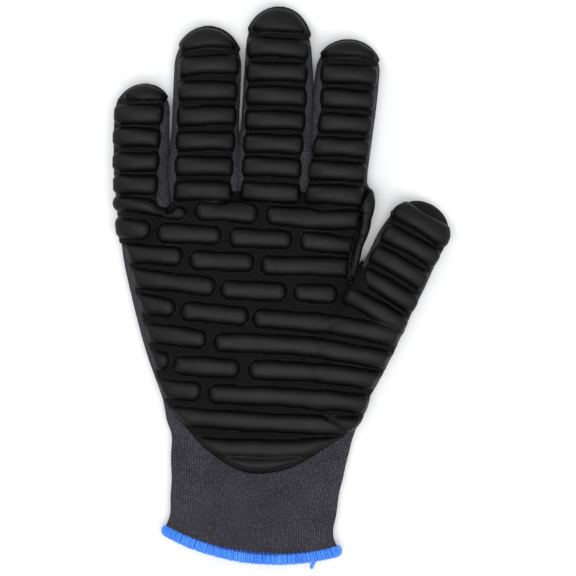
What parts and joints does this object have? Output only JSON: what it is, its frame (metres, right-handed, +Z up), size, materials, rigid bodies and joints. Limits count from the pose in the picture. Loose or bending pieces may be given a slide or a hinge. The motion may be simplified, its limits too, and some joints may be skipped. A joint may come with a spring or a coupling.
{
  "type": "anti vibration work glove",
  "caption": "Right-hand knitted work glove lying palm up, with raised foam-rubber ribs over palm, fingers and thumb, and a ribbed cuff with a coloured hem",
  "frame": {"origin": "centre of the bounding box in plan, on the surface that the glove lies on", "axes": "+Y from the cuff to the fingertips, +X towards the thumb side, +Z up out of the palm"},
  "size_m": [0.1492, 0.248, 0.0201],
  "materials": {
    "knit": "dark grey fine knit, matte",
    "cuff_knit": "dark grey rib knit, matte",
    "hem_yarn": "bright blue overlock yarn, matte",
    "foam_rubber": "black foam rubber, satin matte"
  },
  "bodies": {
    "root": {"knit_palm": "knit", "little_stall": "knit", "ring_stall": "knit", "middle_stall": "knit", "index_stall": "knit", "thumb_stall": "knit", "knit_cuff": "cuff_knit", "cuff_hem": "hem_yarn", "ribbed_coating": "foam_rubber"}
  },
  "joints": []
}
